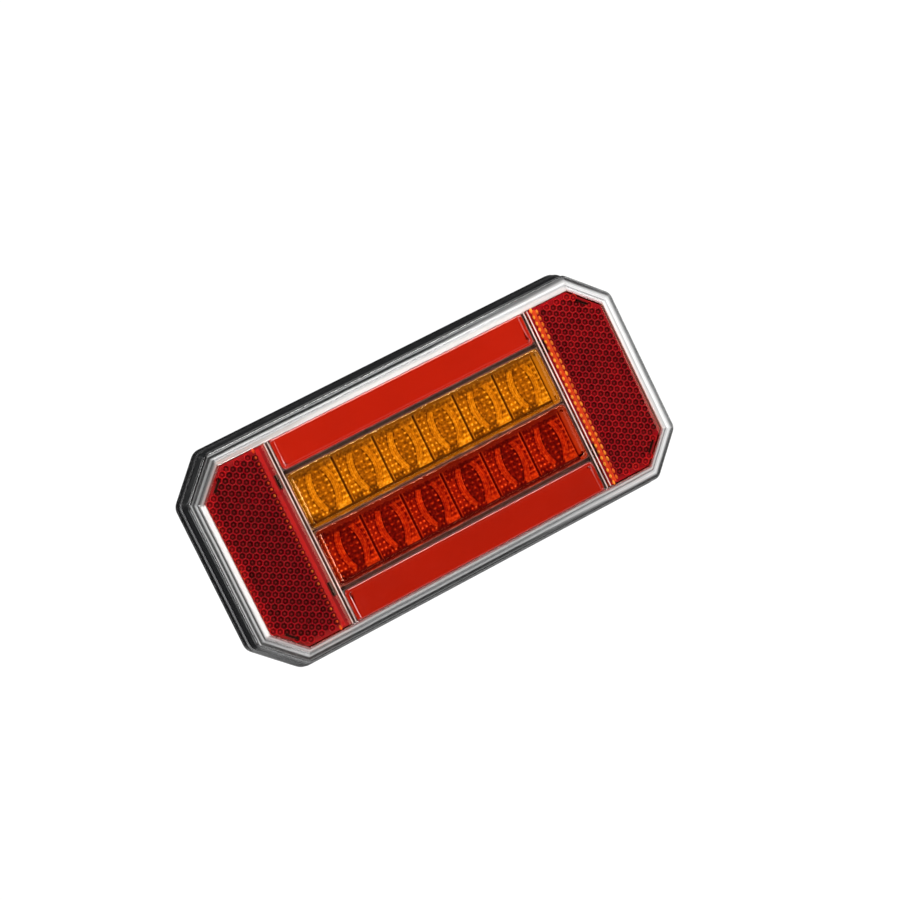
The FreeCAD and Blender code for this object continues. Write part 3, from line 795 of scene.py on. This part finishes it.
def prism_bed(side, hand):
    """Plate with a bar painted bright, cells, beads, clips and slots, behind the reflector of one end.
    """
    bed = Solids()
    bed.take(*slab(half_octagon(PLATE_START, PLATE_MARGIN), side, 1, PLATE_DEPTHS, PLATE_GLOW))
    bar = rectangle(BAR_SPAN, -BAR_HALF_HEIGHT, BAR_HALF_HEIGHT)
    bed.take(*slab(bar, side, 1, BAR_DEPTHS, BAR_GLOW[side]))
    random = np.random.default_rng(BED_SEED)
    for column in range(HEX_COLUMNS):
        x = FIRST_COLUMN[side] + column * HEX_FLATS * math.sqrt(3) / 2
        for row in range(-HEX_ROWS, HEX_ROWS + 1):
            z = (row + 0.5 * (column % 2)) * HEX_FLATS
            if inside_octagon(x, z, HEX_MARGIN):
                shine = random.normal(0, SHINE_SPREAD) + EXTRA_SHINE[side]
                if not inside_octagon(x, z, EDGE_MARGIN):
                    shine += EDGE_SHINE
                bed.take(*hex_cell(side * x, z, shine))
    for x, shift, light in BEAD_COLUMNS[side]:
        for row in range(-BEAD_ROWS, BEAD_ROWS + 1):
            z = (row + shift) * HEX_FLATS
            if inside_octagon(x, z, BEAD_MARGIN):
                bed.take(*bead(side * x, z, light + random.normal(0, BEAD_SPREAD)))
    for foot in CLIP_FEET:
        clip = rectangle(CLIP_SPAN, foot, foot + CLIP_HEIGHT)
        bed.take(*slab(clip, side, 1, CLIP_DEPTHS, 0.0))
    for up in (-1, 1):
        bed.take(*slab(slanted_slot(), side, up, SLOT_DEPTHS, 0.0))
    return new_piece("prism_bed_" + hand, bed.verts, bed.faces, prism_red, None,
                     bed.glow, smooth=False)


for side, hand in ((-1, "left"), (1, "right")):
    prism_bed(side, hand)


# Fine ridges where the coloured panes meet the clear bars. Those along the bars catch the light, and
# their pale colour adds a painted highlight of thin lines; those round the windows are dim. Sizes in
# millimetres, levels along Y.
RIDGE_BASE = -25.4
RIDGE_SHOULDER = 0.7             # share of the half width where the rounded back begins
RIDGE_FALL = 0.1                 # from the crest to there
BAR_RIDGES = ((-69.0, 0.28), (-67.3, 0.28), (68.0, 0.34), (69.8, 0.38))
BAR_RIDGE_CREST = -25.9
BAR_RIDGE_REACH = 45.4
BAR_RIDGE_STEPS = 20
WINDOW_RIDGE_SPANS = ((0.45, 28.4), (-28.4, -0.45), (30.3, 45.6), (-45.6, -30.3))
WINDOW_RIDGE_HALF_X = 66.6
WINDOW_RIDGE_CREST = -25.66
WINDOW_RIDGE_HALF_WIDTH = 0.16
WINDOW_CORNER = 2.1
CORNER_STEPS = 4


def ridge(path, closed, half_width, crest):
    """Strip with a rounded back along a path of (x, z) points."""
    shoulder = half_width * RIDGE_SHOULDER
    section = [(-half_width, RIDGE_BASE), (-shoulder, crest + RIDGE_FALL), (0.0, crest),
               (shoulder, crest + RIDGE_FALL), (half_width, RIDGE_BASE)]
    rings = []
    for i, (x, z) in enumerate(path):
        before = path[i - 1] if closed or i > 0 else path[i]
        after = path[(i + 1) % len(path)] if closed or i < len(path) - 1 else path[i]
        along = Vector((after[0] - before[0], after[1] - before[1])).normalized()
        rings.append([(x - along.y * across, level, z + along.x * across) for across, level in section])
    return loft(rings[::-1], closed)


def rounded_path(half_x, low, high, radius):
    """Outline of a rectangle with rounded corners, running anticlockwise."""
    path = []
    corner_x = half_x - radius
    corners = ((corner_x, high - radius, 0), (-corner_x, high - radius, 90),
               (-corner_x, low + radius, 180), (corner_x, low + radius, 270))
    for x, z, start in corners:
        for step in range(CORNER_STEPS + 1):
            turn = math.radians(start + 90 * step / CORNER_STEPS)
            path.append((x + radius * math.cos(turn), z + radius * math.sin(turn)))
    return path


def bar_ridges():
    strips = Solids()
    for x, half_width in BAR_RIDGES:
        path = [(x, -BAR_RIDGE_REACH + 2 * BAR_RIDGE_REACH * i / BAR_RIDGE_STEPS)
                for i in range(BAR_RIDGE_STEPS + 1)]
        strips.take(*ridge(path, False, half_width, BAR_RIDGE_CREST))
    return new_piece("bar_ridges", strips.verts, strips.faces, ridge_painted_highlight, None)


def window_ridges():
    strips = Solids()
    for low, high in WINDOW_RIDGE_SPANS:
        path = rounded_path(WINDOW_RIDGE_HALF_X, low, high, WINDOW_CORNER)
        strips.take(*ridge(path, True, WINDOW_RIDGE_HALF_WIDTH, WINDOW_RIDGE_CREST))
    return new_piece("window_ridges", strips.verts, strips.faces, ridge_dim, None)


bar_ridges()
window_ridges()


# Studs with the thread the CAD leaves out. Sizes in millimetres, levels along Y.
STUD_PLACES = (-76.0, 76.0)
STUD_RADIUS = 3.0
HEAD_FLATS = 10.0
HEAD_FACE = 0.9                  # share of the head's size left flat by the chamfer on its front
HEAD_CHAMFER = 0.4
HEAD_BACK = -4.0
COLLAR_RADIUS = 4.0
SHANK_START = -1.5
THREAD_PITCH = 1.0
THREAD_DEPTH = 0.55
THREAD_FILL = 1.35               # above 1, the grooves have a flat bottom
TIP_CHAMFER = 0.7
TURN_STEPS = 36
RINGS_PER_TURN = 8


def thread_radius(level, share, tip):
    """Radius of the threaded shank, share of a turn round from +X."""
    phase = (level / THREAD_PITCH - share) % 1.0
    groove = THREAD_DEPTH * min(1.0, THREAD_FILL * (1 - abs(2 * phase - 1)))
    run_in = min(1.0, max(0.0, (level - SHANK_START - THREAD_PITCH) / THREAD_PITCH))
    chamfered = STUD_RADIUS - max(0.0, level - (tip - TIP_CHAMFER))
    return min(STUD_RADIUS - groove * run_in, chamfered)


def stud_outlines(head_front, tip):
    """Outlines of a stud from the front of its head to its tip, as (level, radii)."""
    shares = [step / TURN_STEPS for step in range(TURN_STEPS)]
    flats = [HEAD_FLATS / 2 / math.cos(math.radians(360 * share % 60 - 30)) for share in shares]
    collar = [COLLAR_RADIUS] * TURN_STEPS
    outlines = [(head_front, shaded(flats, HEAD_FACE)), (head_front + HEAD_CHAMFER, flats),
                (HEAD_BACK, flats), (HEAD_BACK, collar), (SHANK_START, collar)]
    count = int((tip - SHANK_START) / THREAD_PITCH * RINGS_PER_TURN)
    for i in range(count + 1):
        level = SHANK_START + (tip - SHANK_START) * i / count
        outlines.append((level, [thread_radius(level, share, tip) for share in shares]))
    return outlines


def threaded_studs():
    low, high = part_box("mounting_studs")
    studs = Solids()
    for x in STUD_PLACES:
        outlines = stud_outlines(low[1] / MM, high[1] / MM)
        studs.take(*loft([ring(x, 0.0, level, radii) for level, radii in reversed(outlines)]))
    return new_piece("threaded_studs", studs.verts, studs.faces, stud_steel, "mounting_studs",
                     smooth=False)


threaded_studs()

# ---- materials of the CAD nodes that show as they are ----
finishes = {
    "rear_housing": housing_black,
    "cable_grommet": grommet_rubber,
    "mounting_gasket": gasket_foam,
    "lens_frame": clear_lens,
    "lens_seal": seal_silicone,
    "light_shield": shield_grey,
    "circuit_board": board_green,
    "board_screws": screw_steel,
    "driver_chips": chip_black,
    "resistors": chip_black,
    "capacitors": capacitor_tan,
    "protection_diodes": chip_black,
    "wire_terminals": terminal_tin,
    "reflector_left": red_reflector,
    "reflector_right": red_reflector,
    "reflector_backing_left": backing_grey,
    "reflector_backing_right": backing_grey,
    "tail_panel_upper": red_panel_upper,
    "tail_panel_lower": red_panel_lower,
    "tail_diffuser_upper": diffuser_white,
    "tail_diffuser_lower": diffuser_white,
    "tail_leds_upper": led_package,
    "tail_leds_lower": led_package,
    "indicator_window": amber_window,
    "stop_window": red_window,
    "indicator_leds": led_package,
    "stop_leds": led_package,
}
for node, material in finishes.items():
    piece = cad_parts[node]
    piece.data.materials.clear()
    piece.data.materials.append(material)

# Rounded edges catch the light as they do on moulded plastic. Widths in millimetres. The fine ones
# are clamped, because steps lie close together there, and the wide ones keep their full width.
WELD_REACH = 0.001
BEVEL_ANGLE = math.radians(9)    # flatter edges stay as they are
WIDEST_CLAMPED = 0.5
rounding = {"rear_housing": 0.3, "lens_frame": 0.2, "tail_panel_upper": 0.8, "tail_panel_lower": 0.8,
            "indicator_window": 0.8, "stop_window": 0.8}
for node, width in rounding.items():
    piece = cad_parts[node]
    weld = piece.modifiers.new("weld", "WELD")
    weld.merge_threshold = WELD_REACH * MM
    bevel = piece.modifiers.new("soft_edges", "BEVEL")
    bevel.width = width * MM
    bevel.segments = 3
    bevel.angle_limit = BEVEL_ANGLE
    bevel.harden_normals = True
    bevel.use_clamp_overlap = width < WIDEST_CLAMPED


# ---- floor, lights and camera ----
# Lights: azimuth and elevation in degrees; distance, width and height in metres; radiance. Azimuth 0
# is in front of the lit face and grows to the right.
BROAD_LIGHTS = {
    "key": (12, 38, 1.3, 0.5, 0.35, 26),
    "fill_left": (-40, 18, 1.4, 0.3, 0.4, 14),
    "fill_right": (48, 24, 1.4, 0.3, 0.4, 10),
    "rear": (228, 35, 1.5, 0.8, 0.6, 8),
}
GLINT_LIGHTS = {
    "left_bevels": (-69, -5, 1.2, 0.7, 0.3, 10),
    "top_bevels": (33, 57, 1.1, 0.8, 0.8, 5.5),
    "right_bevels": (79, 8, 1.1, 0.9, 1.3, 5.5),
    "lower_left_bevel": (-45, -51, 0.5, 0.2, 0.2, 5),
    "left_creases": (-1, -8, 1.6, 0.14, 0.5, 22),
    "inner_edges": (32, -6, 1.6, 0.5, 0.5, 2.5),
    "top_creases": (14, 9, 1.6, 0.6, 0.06, 0.8),
    "bottom_creases": (14, -18, 1.6, 0.6, 0.08, 2),
}
WHITE = (1, 1, 1, 1)
SKY = (0.9, 0.95, 1, 1)
BACKDROP_STRENGTH = 1.05
SKY_STRENGTH = 0.035
FLOOR_LEVEL = -0.6
FLOOR_REACH = 2.0
FLOOR_NEAR = -0.9
FLOOR_FAR = 1.2
CAMERA_LENS = 88.9
CAMERA_SENSOR = 36.0
CAMERA_CLIP = (0.05, 60.0)
CAMERA_PLACE = Vector((-0.254, -1.009, 0.0895))
CAMERA_AIM = Vector((0.0073, -0.026, 0.0044))
CAMERA_ROLL = math.radians(26.06)


def softbox(name, azimuth, elevation, distance, width, height, radiance, glints_only):
    """Area light aimed at the middle of the lamp, and not seen through its glass."""
    data = bpy.data.lights.new(name, "AREA")
    data.shape = "RECTANGLE"
    data.size = width
    data.size_y = height
    data.energy = radiance * math.pi * width * height
    light = bpy.data.objects.new(name, data)
    turn = math.radians(azimuth)
    rise = math.radians(elevation)
    flat = math.cos(rise)
    direction = Vector((math.sin(turn) * flat, -math.cos(turn) * flat, math.sin(rise)))
    light.location = direction * distance
    light.rotation_euler = direction.to_track_quat("Z", "Y").to_euler()
    light.visible_diffuse = not glints_only
    light.visible_transmission = False
    bpy.context.scene.collection.objects.link(light)
    return light


def background(nodes, colour, strength):
    node = nodes.new("ShaderNodeBackground")
    node.inputs["Color"].default_value = colour
    node.inputs["Strength"].default_value = strength
    return node.outputs["Background"]


def white_world():
    """White backdrop for the camera, and a faint sky for everything else."""
    world = bpy.data.worlds.new("studio")
    bpy.context.scene.world = world
    world.use_nodes = True
    nodes = world.node_tree.nodes
    links = world.node_tree.links
    nodes.clear()
    output = nodes.new("ShaderNodeOutputWorld")
    rays = nodes.new("ShaderNodeLightPath")
    mix = nodes.new("ShaderNodeMixShader")
    links.new(rays.outputs["Is Camera Ray"], mix.inputs["Fac"])
    links.new(background(nodes, SKY, SKY_STRENGTH), mix.inputs[1])
    links.new(background(nodes, WHITE, BACKDROP_STRENGTH), mix.inputs[2])
    links.new(mix.outputs["Shader"], output.inputs["Surface"])


def floor_white():
    nodes = Nodes("floor_white")
    shader = nodes.add("ShaderNodeBsdfPrincipled")
    tone = nodes.ramp(nodes.noise(400.0), [(0.3, 0.94), (0.7, 0.96)])
    nodes.join(tone, shader.inputs["Base Color"])
    shader.inputs["Roughness"].default_value = 0.8
    shader.inputs["Emission Color"].default_value = WHITE
    shader.inputs["Emission Strength"].default_value = 1.0
    return nodes.finish(shader.outputs["BSDF"])


def white_floor():
    mesh = bpy.data.meshes.new("floor")
    outline = ((-FLOOR_REACH, FLOOR_NEAR), (FLOOR_REACH, FLOOR_NEAR),
               (FLOOR_REACH, FLOOR_FAR), (-FLOOR_REACH, FLOOR_FAR))
    mesh.from_pydata([(x, y, FLOOR_LEVEL) for x, y in outline], [], [(0, 1, 2, 3)])
    mesh.materials.append(floor_white())
    floor = bpy.data.objects.new("floor", mesh)
    bpy.context.scene.collection.objects.link(floor)
    return floor


def main_camera():
    data = bpy.data.cameras.new("camera")
    data.lens = CAMERA_LENS
    data.sensor_width = CAMERA_SENSOR
    data.clip_start, data.clip_end = CAMERA_CLIP
    camera = bpy.data.objects.new("camera", data)
    look = (CAMERA_AIM - CAMERA_PLACE).to_track_quat("-Z", "Y").to_matrix().to_4x4()
    camera.matrix_world = Matrix.Translation(CAMERA_PLACE) @ look @ Matrix.Rotation(-CAMERA_ROLL, 4, "Z")
    bpy.context.scene.collection.objects.link(camera)
    return camera


for name, values in BROAD_LIGHTS.items():
    softbox(name, *values, glints_only=False)
for name, values in GLINT_LIGHTS.items():
    softbox(name, *values, glints_only=True)
white_world()
floor = white_floor()
bpy.context.scene.camera = main_camera()
bpy.context.scene.view_settings.view_transform = "Standard"
